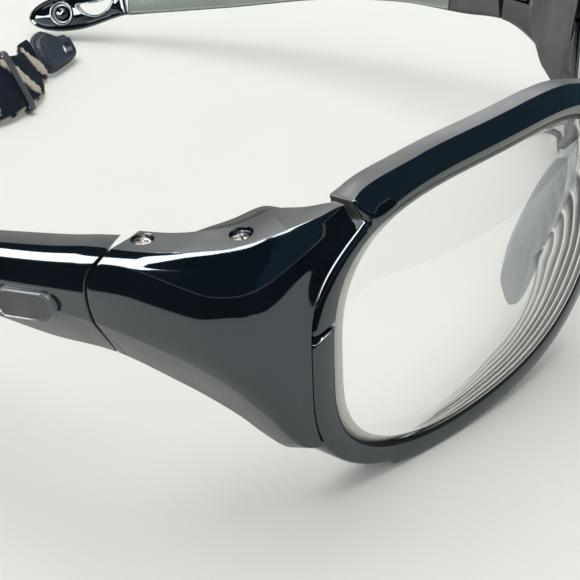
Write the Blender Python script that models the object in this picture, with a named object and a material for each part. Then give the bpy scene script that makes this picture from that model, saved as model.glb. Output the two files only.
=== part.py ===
"""Sports protective goggles: a wrap-around front with two clear lenses, side pieces with hinges, padded
temples that fold inwards, and an elastic strap buttoned to the temple tips.

Sizes are in millimetres; solid() turns them into metres. X runs from the wearer's right (-) to the left (+),
the front faces -Y and Z is up. The goggles stand on their rims and on the strap's end tabs."""

import math

import bmesh
import bpy
from mathutils import Vector

MM = 0.001
DEPTH_CENTRE = 78.2  # distance from the front's foremost plane back to the origin
GAP = 0.3  # clearance between neighbouring pieces

# Lens opening, as seen flat from the front
LENS_CENTRE_X = 34.3
LENS_CENTRE_Z = 22.9
LENS_HALF_WIDTH = 26.1
LENS_UP = 17.8
LENS_DOWN = 19.1
UPPER_SQUARENESS = 3.1
LOWER_SQUARENESS = 2.65
OUTWARD_DROOP = 0.11
BROW_LIFT = 0.07

# Wrap of the front
WRAP_RADIUS = 104.0
BASE_RADIUS = 127.0
RAKE = 0.11

# Rim
RIM_SIDE = 3.2
RIM_TOP = 3.8
RIM_BOTTOM = 3.2
RIM_DEPTH = 5.0
GROOVE_DEPTH = 1.15
RIM_CAP = [(0, 1, 10, 11), (1, 2, 3, 10), (10, 3, 4, 9), (9, 4, 5, 6), (9, 6, 7, 8)]  # its section, by point number
SPLIT_UPPER_END = 8.6  # degrees round the opening, either side of the slit that lets the lens in
SPLIT_LOWER_END = 366.4
BRIDGE_TOP = 39.2
BRIDGE_BOTTOM = 27.0

# Side pieces: heights of their edges against the distance back
SEAM_GAP = 0.42  # clearance from the rim, with an allowance for both outlines being made of flats
SEAM_TOP_ANGLE = 50.0
SEAM_LOW_ANGLE = -24.0
TOP_LINE = [(19.0, 40.9), (23.2, 39.4), (27.1, 38.2), (32.0, 37.9), (39.0, 37.3), (47.2, 35.1), (54.3, 33.4)]
TOP_LINE += [(80.0, 27.0), (110.0, 19.0), (135.0, 12.2)]
CREASE_LINE = [(17.5, 9.6), (21.0, 13.0), (23.7, 16.6), (27.7, 20.9), (33.5, 24.4), (41.9, 26.5), (55.4, 25.5)]
CREASE_LINE += [(80.0, 21.6), (110.0, 14.0), (135.0, 8.6)]
BOTTOM_LINE = [(17.5, 6.4), (22.3, 7.9), (27.4, 13.2), (33.4, 17.4), (40.9, 20.2), (50.7, 19.6), (66.0, 19.2)]
BOTTOM_LINE += [(85.0, 16.4), (110.0, 10.6), (135.0, 6.2)]
REAR_FACE = [(19.0, 40.4), (23.0, 41.5), (27.0, 42.0), (30.5, 42.0), (34.0, 41.2), (37.4, 39.0)]
TEMPLE_SPREAD = [(38.0, 73.6), (55.0, 74.4), (70.0, 74.3), (90.0, 72.6), (110.0, 68.8), (125.0, 64.0), (135.0, 60.2)]
HINGE_END_X = 73.7
SIDE_STEPS = 8  # steps down the side piece's skin
DECK_WIDTH = 3.8
DECK_DEPTH = 2.2
WALL = 1.1
FACET_INSET = 3.3

# Hinge, lugs and screws
LUG_SHARES = {"upper": (0.37, 0.55), "lower": (0.6, 0.82)}  # heights of the rim's ears, as shares of the skin's
HINGE_X = 70.6
HINGE_Y = 37.2
KNUCKLE_RADIUS = 1.2
KNUCKLE_LOW = 25.5
KNUCKLE_HIGH = 33.5
RIM_SCREW_X = 65.0
RIM_SCREW_Y = 28.1
SHANK_RADIUS = 0.65
HEAD_RADIUS = 1.15

LUG_REACH = (WALL + GAP + 0.5, 4.5)  # the ears' outer and inner faces, measured in from the skin

# Temples
TEMPLE_END = 133.5
TEMPLE_THICKNESS = 3.8
TIP_THICKNESS = 2.6
LINING_START = 54.2
LINING_THICKNESS = 1.3

# Strap
TIP_FLOOR = 2.7  # the temple tips hang this far above the surface, over the strap
STRAP_WIDTH = 15.0
STRAP_LOW = 0.7
STRAP_HIGH = 1.7
STRAP_ROUTE = [(26.5, 138.9), (19.5, 135.3), (11.5, 133.3), (3.0, 133.6), (-6.0, 138.4), (-11.5, 147.5)]
STRAP_ROUTE += [(-15.5, 158.5), (-23.5, 166.5), (-34.0, 168.0), (-42.0, 162.5), (-45.6, 154.2)]
TAB_LENGTH = 15.5
TAB_HEIGHT = 2.0
SLIDER_HEIGHT = 2.3
SLIDER_SPOTS = {"left": 0.217, "right": 0.93}

SIDES = {"right": -1, "left": 1}


def clear_scene():
    for obj in list(bpy.data.objects):
        bpy.data.objects.remove(obj, do_unlink=True)


def finish_material(name, colour, roughness, metallic=0.0, alpha=1.0):
    made = bpy.data.materials.new(name)
    made.use_nodes = True
    shader = made.node_tree.nodes["Principled BSDF"]
    shader.inputs["Base Color"].default_value = (*colour, 1.0)
    shader.inputs["Roughness"].default_value = roughness
    shader.inputs["Metallic"].default_value = metallic
    shader.inputs["Alpha"].default_value = alpha
    return made


def smooth_step(value, low, high):
    part = min(max((value - low) / (high - low), 0.0), 1.0)
    return part * part * (3 - 2 * part)


def mix(a, b, share):
    return a + (b - a) * share


def through(points, place):
    """Height at one place of the smooth line through (place, height) points."""
    last = len(points) - 1
    i = 0
    while i < last - 1 and place > points[i + 1][0]:
        i += 1

    def slope(k):
        a, b = points[max(k - 1, 0)], points[min(k + 1, last)]
        return (b[1] - a[1]) / (b[0] - a[0])

    (x0, h0), (x1, h1) = points[i], points[i + 1]
    span = x1 - x0
    t = min(max((place - x0) / span, 0.0), 1.0)
    start = h0 * (2 * t**3 - 3 * t * t + 1) + slope(i) * span * (t**3 - 2 * t * t + t)
    end = h1 * (3 * t * t - 2 * t**3) + slope(i + 1) * span * (t**3 - t * t)
    return start + end


def bezier(a, b, c, d, t):
    return a * (1 - t) ** 3 + b * 3 * t * (1 - t) ** 2 + c * 3 * t * t * (1 - t) + d * t**3


def smooth_route(points, steps):
    """A Catmull-Rom curve through plan points, with steps places between each pair."""
    ends = [points[0]] + list(points) + [points[-1]]
    route = []
    for i in range(1, len(ends) - 2):
        p0, p1, p2, p3 = (Vector(p) for p in ends[i - 1 : i + 3])
        for k in range(steps):
            t = k / steps
            bend = (2 * p0 - 5 * p1 + 4 * p2 - p3) * t * t + (3 * p1 - p0 - 3 * p2 + p3) * t**3
            route.append(0.5 * (2 * p1 + (p2 - p0) * t + bend))
    return route + [Vector(points[-1])]


# Making solids


def solid(name, rings, material, pivot=None, cap=None):
    """One body through rings of points in millimetres. A cap can be given as faces of ring point numbers."""
    base = Vector(pivot["place"]) if pivot else Vector((0, 0, 0))
    mesh = bmesh.new()
    rows = [[mesh.verts.new((Vector(p) - base) * MM) for p in ring] for ring in rings]
    for a, b in zip(rows, rows[1:]):
        for j in range(len(a)):
            k = (j + 1) % len(a)
            mesh.faces.new((a[j], a[k], b[k], b[j]))
    cap = cap or [range(len(rows[0]))]
    ends = [mesh.faces.new([row[j] for j in face]) for row in (rows[0], rows[-1]) for face in cap]
    bmesh.ops.triangulate(mesh, faces=ends)
    return as_object(name, mesh, material, pivot)


def as_object(name, mesh, material, pivot=None):
    bmesh.ops.recalc_face_normals(mesh, faces=mesh.faces)
    data = bpy.data.meshes.new(name)
    mesh.to_mesh(data)
    mesh.free()
    data.shade_smooth()
    data.set_sharp_from_angle(angle=math.radians(35))
    obj = bpy.data.objects.new(name, data)
    bpy.context.scene.collection.objects.link(obj)
    if material:
        data.materials.append(material)
    obj.parent = pivot["empty"] if pivot else ROOT
    return obj


def hinge_point(name, place):
    """An empty on a joint's axis, which the moving pieces hang on."""
    empty = bpy.data.objects.new(name, None)
    bpy.context.scene.collection.objects.link(empty)
    empty.parent = ROOT
    empty.location = Vector(place) * MM
    return {"empty": empty, "place": place}


def turned(name, start, axis, profile, material=None, pivot=None, sides=20):
    """A body turned about an axis, from (distance along it, radius) pairs."""
    along = Vector(axis).normalized()
    across = along.orthogonal().normalized()
    third = along.cross(across)
    rings = []
    for distance, radius in profile:
        centre = Vector(start) + along * distance
        turns = [2 * math.pi * k / sides for k in range(sides)]
        rings.append([centre + radius * (across * math.cos(a) + third * math.sin(a)) for a in turns])
    return solid(name, rings, material, pivot)


def prism(name, outline, low, high, material=None, pivot=None):
    """A plan outline pulled up from one height to another."""
    return solid(name, [[(x, y, z) for x, y in outline] for z in (low, high)], material, pivot)


def combine(target, helper, operation="DIFFERENCE"):
    helper.hide_render = True
    helper.display_type = "WIRE"
    modifier = target.modifiers.new(operation.title(), "BOOLEAN")
    modifier.operation = operation
    modifier.object = helper
    modifier.solver = "EXACT"


# The front


def front_y(x, z):
    rise = z - LENS_CENTRE_Z
    return x * x / (2 * WRAP_RADIUS) + rise * rise / (2 * BASE_RADIUS) + RAKE * rise


def opening(angle, side=0.0, top=0.0, bottom=0.0):
    """Flat front view (x, z) of the lens opening, with its half sizes grown by side, top and bottom."""
    c, s = math.cos(math.radians(angle)), math.sin(math.radians(angle))
    power = 2 / (UPPER_SQUARENESS if s > 0 else LOWER_SQUARENESS)
    across = math.copysign(abs(c) ** power, c)
    up = math.copysign(abs(s) ** power, s)
    x = (LENS_HALF_WIDTH + side) * across
    z = (LENS_UP + top if s > 0 else LENS_DOWN + bottom) * up - OUTWARD_DROOP * x
    if s > 0:
        z += BROW_LIFT * x * up
    return LENS_CENTRE_X + x, LENS_CENTRE_Z + z


def rim_outline(angle):
    """Outer edge of one rim, drawn in to the middle of the front across the bridge."""
    x, z = opening(angle, RIM_SIDE, RIM_TOP, RIM_BOTTOM)
    pull = smooth_step(angle, 116, 140) * (1 - smooth_step(angle, 184, 206))
    bridge_z = mix(BRIDGE_TOP, BRIDGE_BOTTOM, smooth_step(angle, 136, 186))
    return x * (1 - pull), mix(z, bridge_z, pull)


def rim_section(angle):
    """One cross-section of the rim, from its lens groove to its outer edge."""
    inner = Vector(opening(angle))
    outer = Vector(rim_outline(angle))
    joined = outer.x < 1e-6
    width = (outer - inner).length
    along = (outer - inner) / width
    front_edge, back_edge = (0.0, 0.0) if joined else (0.6, 1.2)
    profile = [(0, 0.6), (0.6, 0), (width - 0.6, 0), (width, front_edge), (width, RIM_DEPTH - back_edge)]
    profile += [(width - 1.2, RIM_DEPTH), (0.5, RIM_DEPTH), (0, RIM_DEPTH - 0.5), (0, 4.0)]
    places = [(0.0 if joined and reach == width else (inner + along * reach).x, (inner + along * reach).y, depth)
              for reach, depth in profile]
    groove = opening(angle, GROOVE_DEPTH, GROOVE_DEPTH, GROOVE_DEPTH)
    places += [(*groove, 3.1), (*groove, 2.1), (*inner, 1.2)]
    return [(x, front_y(x, z) + depth, z) for x, z, depth in places], joined


def front_frame(material):
    steps = 74
    angles = [mix(SPLIT_UPPER_END, SPLIT_LOWER_END, k / steps) for k in range(steps + 1)]
    sections = [rim_section(a) for a in angles]
    outer_edge = 3  # the section's points 3 and 4 are its outer edge, which the two rims share at the bridge
    mesh = bmesh.new()
    for side in SIDES.values():
        rows = [[mesh.verts.new((side * x * MM, y * MM, z * MM)) for x, y, z in ring] for ring, _ in sections]
        for i, (a, b) in enumerate(zip(rows, rows[1:])):
            for j in range(len(a)):
                if j == outer_edge and sections[i][1] and sections[i + 1][1]:
                    continue
                k = (j + 1) % len(a)
                mesh.faces.new((a[j], a[k], b[k], b[j]))
        for row in (rows[0], rows[-1]):
            for face in RIM_CAP:
                mesh.faces.new([row[j] for j in face])
    bmesh.ops.remove_doubles(mesh, verts=mesh.verts, dist=1e-7)
    frame = as_object("front_frame", mesh, material)
    for name, side in SIDES.items():
        for part, shares in LUG_SHARES.items():
            combine(frame, lug(f"lug_{part}_{name}", side, *shares), "UNION")
        drill = turned(f"drill_{name}", (side * RIM_SCREW_X, RIM_SCREW_Y, 19.0), (0, 0, 1), [(0, 0.95), (20, 0.95)])
        combine(frame, drill)
    return frame


def lug(name, side, upper, lower):
    """Ear on the rim's split end, which follows the side piece's inner wall back to the closing screw."""
    rings = []
    for k in range(8):
        t = mix(-0.05, 0.37, k / 7)
        ends = [(side_outer(share, t), reach) for share in (upper, lower) for reach in LUG_REACH]
        high_out, high_in, low_out, low_in = (point + inward(t) * reach for point, reach in ends)
        rings.append([(side * p.x, p.y, p.z) for p in (high_out, low_out, low_in, high_in)])
    return solid(name, rings, None)


def lens(name, side, material):
    """A thick clear lens whose bevelled edge sits in the rim's groove."""
    turns = [7.5 * k for k in range(48)]
    face = [0.25, 0.6, 0.88]

    def ring(grow, depth, share=1.0):
        points = []
        for angle in turns:
            x, z = opening(angle, grow, grow, grow)
            x, z = mix(LENS_CENTRE_X, x, share), mix(LENS_CENTRE_Z, z, share)
            points.append((side * x, front_y(x, z) + depth, z))
        return points

    rings = [ring(-0.5, 0.5, share) for share in face] + [ring(-0.5, 0.6)]
    rings += [ring(-0.35, 1.35), ring(0.8, 2.35), ring(0.8, 2.85), ring(-0.35, 3.85), ring(-0.5, 4.3)]
    rings += [ring(-0.5, 4.2 - 0.2 * (1 - share), share) for share in reversed(face)]
    solid(f"lens_{name}", rings, material)


def nose_piece(name, side, arm_material, pad_material):
    """A soft pad beside the nose on a short arm from the rim."""
    spine = [(5.8, 8.9, 28.0), (8.8, 9.2, 22.4), (11.2, 9.5, 16.8), (12.4, 9.5, 11.2), (12.2, 9.5, 5.6)]
    rings = []
    steps = 14
    for k in range(steps + 1):
        t = k / steps
        x, y, z = (through([(q / 4, p[i]) for q, p in enumerate(spine)], t) for i in range(3))
        swell = math.sin(math.pi * mix(0.12, 0.9, t)) ** 0.5
        half_depth, half_thick = 4.2 * swell, 0.95 * swell
        ring = []
        for n in range(12):
            a = 2 * math.pi * n / 12
            depth, thick = half_depth * math.cos(a), half_thick * math.sin(a)
            ring.append((side * (x + 0.75 * depth - 0.6 * thick), y + 0.6 * depth + 0.75 * thick, z))
        rings.append(ring)
    solid(f"nose_pad_{name}", rings, pad_material)
    start = Vector((side * 6.0, 7.8, 32.4))
    turned(f"nose_pad_arm_{name}", start, (0, 0.5, -0.87), [(0, 0.9), (3.0, 0.7)], arm_material)


# Side pieces


def seam_point(share):
    """Where the side piece meets the rim, from the top (0) to the crease (1)."""
    angle = mix(SEAM_TOP_ANGLE, SEAM_LOW_ANGLE, share)
    x, z = opening(angle, RIM_SIDE + SEAM_GAP, RIM_TOP + SEAM_GAP, RIM_BOTTOM + SEAM_GAP)
    return x, front_y(x, z) + 0.25, z


def side_outer(share, t):
    """A point on the side piece's outer skin: share runs down from the top edge, t back from the seam."""
    x0, y0, z0 = seam_point(share)
    top_z, low_z = seam_point(0)[2], seam_point(1)[2]
    height = (top_z - z0) / (top_z - low_z)
    rear_z = mix(37.3, 26.5, height)
    rear_y = through(REAR_FACE, rear_z)
    lead = Vector((0.84, 0.54)) * 6.5
    plan = bezier(Vector((x0, y0)), Vector((x0, y0)) + lead, Vector((HINGE_END_X - 0.5, rear_y - 9)),
                  Vector((HINGE_END_X, rear_y)), t)
    settle = smooth_step(t, 0.0, 0.3)
    top = mix(top_z, through(TOP_LINE, plan.y), settle)
    low = mix(low_z, through(CREASE_LINE, plan.y), settle)
    return Vector((plan.x, plan.y, mix(top, low, height)))


def inward(t):
    """Plan direction from the outer skin to the inside, turning from straight back to sideways."""
    turn = math.radians(90) * smooth_step(t, -0.1, 1.0) ** 0.8
    return Vector((-math.sin(turn), math.cos(turn), 0))


def side_ring(t, wall, slant=0.0):
    """One cross-section: down the skin, under the lower facet, up the inner wall and round the deck."""
    skin = [side_outer(k / SIDE_STEPS, t) for k in range(SIDE_STEPS + 1)]
    normal = inward(t)

    def set_in(point, reach, height):
        moved = point + normal * reach
        y = through(REAR_FACE, height) - slant * reach / DECK_WIDTH if t == 1 else moved.y
        return Vector((moved.x, y, height))

    deck, crease = skin[0], skin[-1]
    bottom_z = through(BOTTOM_LINE, (crease + normal * FACET_INSET).y)
    bottom_z = mix(crease.z - 1.8, bottom_z, smooth_step(t, 0.0, 0.3))
    under_deck = deck.z - mix(0.3, DECK_DEPTH, smooth_step(t, 0.0, 0.25))
    wall_foot = crease.z + 0.6
    ring = skin + [set_in(crease, FACET_INSET, bottom_z), set_in(crease, FACET_INSET + 0.9, bottom_z + 1.1)]
    for point in reversed(skin):
        height = (point.z - crease.z) / (deck.z - crease.z)
        ring.append(set_in(point, wall, mix(wall_foot, under_deck, height)))
    ring.append(set_in(deck, DECK_WIDTH + 0.1, under_deck))
    ring.append(set_in(deck, DECK_WIDTH + 0.1, deck.z))
    return ring


def side_cap():
    """Faces that close a side piece's end: the wall between skin and inner wall, the facet and the deck."""
    n = SIDE_STEPS
    inner = [2 * n + 3 - k for k in range(n + 1)]  # ring number of the inner wall's point behind each skin point
    faces = [(k, k + 1, inner[k + 1], inner[k]) for k in range(n)]
    return faces + [(n, n + 1, n + 2, inner[n]), (0, inner[0], 2 * n + 4, 2 * n + 5)]


def side_piece(name, side, material):
    """Glossy cover over the rim's split end, thin over the rim's lugs and solid round the hinge."""
    thin = [0, 0.08, 0.17, 0.26, 0.35, 0.44, 0.53, 0.6]
    thick = [0.64, 0.72, 0.8, 0.88]
    rings = [side_ring(t, WALL) for t in thin] + [side_ring(t, DECK_WIDTH - 0.3) for t in thick]
    rings.append(side_ring(1.0, DECK_WIDTH - 0.3, slant=0.5))
    rings = [[(side * p.x, p.y, p.z) for p in ring] for ring in rings]
    piece = solid(f"endpiece_{name}", rings, material, cap=side_cap())
    slot_back = HINGE_X + KNUCKLE_RADIUS + 0.2
    slot = [(66.0, HINGE_Y - 1.6), (slot_back - 1.3, HINGE_Y - 1.6), (slot_back, HINGE_Y - 0.3)]
    slot += [(slot_back, 45.0), (66.0, 45.0)]
    slot_cutter = prism(f"hinge_slot_{name}", [(side * x, y) for x, y in slot], KNUCKLE_LOW - GAP, KNUCKLE_HIGH + GAP)
    combine(piece, slot_cutter)
    for spot, x, y, depth in (("hinge", HINGE_X, HINGE_Y, 23.2), ("rim", RIM_SCREW_X, RIM_SCREW_Y, 30.0)):
        deck = through(TOP_LINE, y)
        profile = [(depth, SHANK_RADIUS + GAP), (deck - 1.3, SHANK_RADIUS + GAP)]
        profile += [(deck - 1.3 + 1e-3, HEAD_RADIUS + GAP), (deck + 3, HEAD_RADIUS + GAP)]
        combine(piece, turned(f"{spot}_bore_{name}", (side * x, y, 0), (0, 0, 1), profile))
    return piece


def screw(name, x, y, low, material):
    """Countersunk screw standing in its recess, point down."""
    deck = through(TOP_LINE, y) - 0.3
    profile = [(low, 0.4), (low + 0.6, SHANK_RADIUS), (deck - 0.7, SHANK_RADIUS), (deck - 0.69, HEAD_RADIUS)]
    profile += [(deck - 0.2, HEAD_RADIUS), (deck, HEAD_RADIUS - 0.35)]
    turned(name, (x, y, 0), (0, 0, 1), profile, material)


def side_pad(name, side, material):
    """Dark cushion on the inside of the side piece, standing a little proud of its top."""
    rings = []
    steps = 12
    for k in range(steps + 1):
        part = k / steps
        t = mix(0.34, 0.79, part)
        swell = math.sin(math.pi * mix(0.06, 0.94, part)) ** 0.6
        normal = inward(t)
        back = side_outer(0, t) + normal * (DECK_WIDTH + 0.1 + GAP)
        face = back + normal * (0.8 + 2.6 * swell)
        low = through(BOTTOM_LINE, back.y) + 2.6
        high = back.z + mix(-1.0, 2.3, swell)
        ring = [(back, high - 0.8), (back, low), (face.lerp(back, 0.35), low), (face, low + 1.6)]
        ring += [(face, mix(low, high, 0.5)), (face, high - 2.0), (face.lerp(back, 0.45), high)]
        ring.append((back.lerp(face, 0.12), high - 0.1))
        rings.append([(side * p.x, p.y, z) for p, z in ring])
    solid(f"side_pad_{name}", rings, material)


# Temples


def temple_outer(y):
    return through(TEMPLE_SPREAD, y)


def temple_thickness(y):
    return mix(TEMPLE_THICKNESS, TIP_THICKNESS, smooth_step(y, 60, 125))


def temple(name, side, material, pivot):
    stations = [None, 45.5, 50, 55, 62, 70, 79, 88, 97, 106, 114, 121, 128, TEMPLE_END]
    heights = [0, 0.12, 0.4, 0.7, 1]
    bulge = 0.3
    rings = []
    for station in stations:
        ring = []
        place = station or 42.0
        top, crease, bottom = (through(line, place) for line in (TOP_LINE, CREASE_LINE, BOTTOM_LINE))
        top = 37.0 if station is None else top
        thick = temple_thickness(place)
        inset = FACET_INSET * thick / TEMPLE_THICKNESS
        column = [(-bulge * math.sin(math.pi * h) if h else 0.5, mix(top, crease, h)) for h in heights]
        column.append((inset, bottom))
        column += [(thick, mix(top - 0.3, bottom + 0.5, h)) for h in reversed(heights)]
        column.append((thick - 0.5, top))
        for offset, z in column:
            y = through(REAR_FACE, z) + 0.4 if station is None else station
            ring.append((side * (temple_outer(y) - offset), y, z))
        rings.append(ring)
    n = len(heights) - 1
    inner = [2 * n + 2 - k for k in range(n + 1)]
    cap = [(k, k + 1, inner[k + 1], inner[k]) for k in range(n)] + [(n, n + 1, inner[n]), (0, inner[0], 2 * n + 3)]
    body = solid(f"temple_{name}", rings, material, pivot, cap)
    back = [(HINGE_X + KNUCKLE_RADIUS, 44.5), (HINGE_X - KNUCKLE_RADIUS, 44.5)]
    turns = [math.radians(180 + 18 * k) for k in range(11)]
    nose = [(HINGE_X + KNUCKLE_RADIUS * math.cos(a), HINGE_Y + KNUCKLE_RADIUS * math.sin(a)) for a in turns]
    plan = [(side * x, y) for x, y in back + nose]
    combine(body, prism(f"knuckle_{name}", plan, KNUCKLE_LOW, KNUCKLE_HIGH, None, pivot), "UNION")
    bore = [(20, SHANK_RADIUS + 0.08), (36, SHANK_RADIUS + 0.08)]
    combine(body, turned(f"knuckle_bore_{name}", (side * HINGE_X, HINGE_Y, 0), (0, 0, 1), bore, None, pivot))


def lining(name, side, material, pivot):
    """Soft rubber strip along the inside of the temple."""
    rings = []
    steps = 16
    for k in range(steps + 1):
        y = mix(LINING_START, TEMPLE_END - 0.5, k / steps)
        back = temple_outer(y) - temple_thickness(y) - GAP
        thick = LINING_THICKNESS * mix(0.5, 1.0, smooth_step(min(k, steps - k), 0, 2))
        low, high = through(BOTTOM_LINE, y) + 0.6, through(TOP_LINE, y) - 0.8
        column = [(back, high), (back, low), (back - 0.6 * thick, low), (back - thick, low + 0.8)]
        column += [(back - thick, high - 0.8), (back - 0.6 * thick, high)]
        rings.append([(side * x, y, z) for x, z in column])
    solid(f"temple_lining_{name}", rings, material, pivot)


def badge(name, side, material, pivot):
    """Plain raised pill on the outer face of the temple."""
    half_length, half_height, centre_y, centre_z = 7.0, 2.9, 53.7, 25.5
    rings = []
    for lift, shrink in ((GAP + 0.05, 0), (0.8, 0), (1.05, 0.35)):
        ring = []
        for k in range(24):
            a = 2 * math.pi * k / 24
            reach = math.copysign(half_length - half_height, math.cos(a))
            y = centre_y + reach + (half_height - shrink) * math.cos(a)
            z = centre_z - 0.2 * (y - centre_y) + (half_height - shrink) * math.sin(a)
            ring.append((side * (temple_outer(y) + lift + 0.3), y, z))
        rings.append(ring)
    solid(f"temple_badge_{name}", rings, material, pivot)


def tip_frame(side):
    """Origin at the front end of the temple tip, its length direction, its height direction and its normal."""
    along = Vector((-11.0, 22.2, -4.2)).normalized()
    normal = along.cross(Vector((0.3, 0.1, 0.95))).normalized()
    up = normal.cross(along)

    def mirrored(v):
        return Vector((side * v.x, v.y, v.z))

    return mirrored(Vector((58.3, 134.2, 9.4))), mirrored(along), mirrored(up), mirrored(normal)


def temple_tip(name, side, material, stud_material, pivot):
    """Leaf-shaped loop at the end of the temple, with a ring for the strap's button and a slit beside it."""
    origin, along, up, normal = tip_frame(side)
    length, swell_at, half_thickness = 25.0, 13.0, 1.2
    upper = []
    for k in range(15):
        u = length * math.sin(math.pi / 2 * k / 14)
        fullness = mix(2.9, 4.5, smooth_step(u, 0, swell_at))
        rounding = math.sqrt(max(1 - max((u - swell_at) / (length - swell_at), 0) ** 2, 0))
        upper.append((u, fullness * rounding))
    outline = upper + [(u, -w) for u, w in reversed(upper[:-1])]

    def raised(points, low, high):
        return [[origin + along * u + up * w + normal * n for u, w in points] for n in (low, high)]

    lowest = min(p.z for ring in raised(outline, -half_thickness, half_thickness) for p in ring)
    origin.z += TIP_FLOOR - lowest
    leaf = solid(f"temple_tip_{name}", raised(outline, -half_thickness, half_thickness), material, pivot)
    ring_centre = origin + along * 16.4
    turns = [2 * math.pi * k / 20 for k in range(20)]
    slit = [(7.8 + 4.2 * math.cos(a), 0.3 + 1.4 * math.sin(a)) for a in turns]
    combine(leaf, turned(f"ring_hole_{name}", ring_centre, normal, [(-4, 2.3), (4, 2.3)], None, pivot))
    combine(leaf, solid(f"tip_slit_{name}", raised(slit, -4, 4), None, pivot))
    profile = [(-1.0, 1.9), (1.0, 2.0), (1.5, 1.7), (1.8, 1.0)]
    turned(f"strap_stud_{name}", ring_centre, normal, profile, stud_material, pivot)


# Strap


def strap_route():
    return smooth_route(STRAP_ROUTE, 6)


def route_frame(route, i):
    ahead = (route[min(i + 1, len(route) - 1)] - route[max(i - 1, 0)]).normalized()
    return ahead, Vector((-ahead.y, ahead.x))


def webbing(material, pivot):
    route = strap_route()
    rings = []
    for i, centre in enumerate(route):
        _, across = route_frame(route, i)
        edges = [centre + across * STRAP_WIDTH / 2, centre - across * STRAP_WIDTH / 2]
        rings.append([(*edges[0], STRAP_LOW), (*edges[1], STRAP_LOW), (*edges[1], STRAP_HIGH), (*edges[0], STRAP_HIGH)])
    solid("strap_webbing", rings, material, pivot)


def tab(name, end, heading, material, pivot):
    """Flat rubber end of the strap, a rounded plate that starts just past the webbing."""
    across = Vector((-heading.y, heading.x))
    centre = end + heading * (TAB_LENGTH / 2 + GAP)
    outline = []
    for k in range(28):
        a = 2 * math.pi * k / 28
        c, s = math.cos(a), math.sin(a)
        reach = math.copysign(abs(c) ** 0.6, c) * TAB_LENGTH / 2
        spread = math.copysign(abs(s) ** 0.6, s) * mix(7.4, 6.2, (1 + c) / 2)
        outline.append(centre + heading * reach + across * spread)
    prism(f"strap_tab_{name}", [tuple(p) for p in outline], 0.0, TAB_HEIGHT, material, pivot)


def slider(name, share, material):
    """Flat loop that the webbing runs through."""
    route = strap_route()
    i = round(share * (len(route) - 1))
    ahead, across = route_frame(route, i)
    centre = route[i]
    pivot = hinge_point(f"slider_{name}_origin", (*centre, (STRAP_LOW + STRAP_HIGH) / 2))

    def box(tag, half_long, half_wide, low, high, colour=None):
        corners = [(-1, -1), (1, -1), (1, 1), (-1, 1)]
        plan = [tuple(centre + ahead * half_long * a + across * half_wide * b) for a, b in corners]
        return prism(tag, plan, low, high, colour, pivot)

    loop = box(f"strap_slider_{name}", 1.8, STRAP_WIDTH / 2 + 2.1, 0.0, SLIDER_HEIGHT, material)
    combine(loop, box(f"slider_hole_{name}", 4.0, STRAP_WIDTH / 2 + 1.1, STRAP_LOW - 0.25, STRAP_HIGH + 0.25))


def main():
    gloss = finish_material("gloss_black", (0.008, 0.012, 0.018), 0.12)
    soft_dark = finish_material("dark_pad", (0.06, 0.062, 0.06), 0.75)
    clear = finish_material("clear_lens", (0.95, 0.96, 0.97), 0.03, alpha=0.25)
    silicone = finish_material("grey_silicone", (0.3, 0.31, 0.31), 0.4, alpha=0.7)
    rubber = finish_material("grey_green_rubber", (0.29, 0.34, 0.31), 0.65)
    steel = finish_material("screw_steel", (0.55, 0.54, 0.52), 0.3, metallic=1.0)
    navy = finish_material("navy_rubber", (0.012, 0.025, 0.05), 0.55)
    woven = finish_material("woven_elastic", (0.02, 0.03, 0.05), 0.9)
    slider_plastic = finish_material("slider_plastic", (0.05, 0.055, 0.065), 0.4)
    badge_plastic = finish_material("badge_plastic", (0.1, 0.105, 0.11), 0.3)

    front_frame(gloss)
    for name, side in SIDES.items():
        lens(name, side, clear)
        nose_piece(name, side, gloss, silicone)
        side_piece(name, side, gloss)
        side_pad(name, side, soft_dark)
        screw(f"hinge_screw_{name}", side * HINGE_X, HINGE_Y, 23.6, steel)
        screw(f"rim_screw_{name}", side * RIM_SCREW_X, RIM_SCREW_Y, 20.8, steel)
        pivot = hinge_point(f"temple_{name}_axis", (side * HINGE_X, HINGE_Y, 0))
        temple(name, side, gloss, pivot)
        lining(name, side, rubber, pivot)
        badge(name, side, badge_plastic, pivot)
        temple_tip(name, side, gloss, soft_dark, pivot)

    route = strap_route()
    strap = hinge_point("strap_origin", (*route[0], 0))
    webbing(woven, strap)
    tab("left", route[0], -route_frame(route, 0)[0], navy, strap)
    tab("right", route[-1], route_frame(route, len(route) - 1)[0], navy, strap)
    for name, share in SLIDER_SPOTS.items():
        slider(name, share, slider_plastic)


clear_scene()
ROOT = bpy.data.objects.new("goggles_origin", None)
bpy.context.scene.collection.objects.link(ROOT)
ROOT.location = (0, -DEPTH_CENTRE * MM, 0)
main()
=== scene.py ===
"""The goggles as they look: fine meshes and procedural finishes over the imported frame, lit as a small product shot.

Shapes are worked out in millimetres in the part's own layout, with the front at y 0 and the temples running to +Y.
world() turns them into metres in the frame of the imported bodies. Both sides use the same shapes: side is 1 for the
left and -1 for the right."""

import math

import bmesh
import bpy
from mathutils import Matrix, Vector, noise

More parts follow.
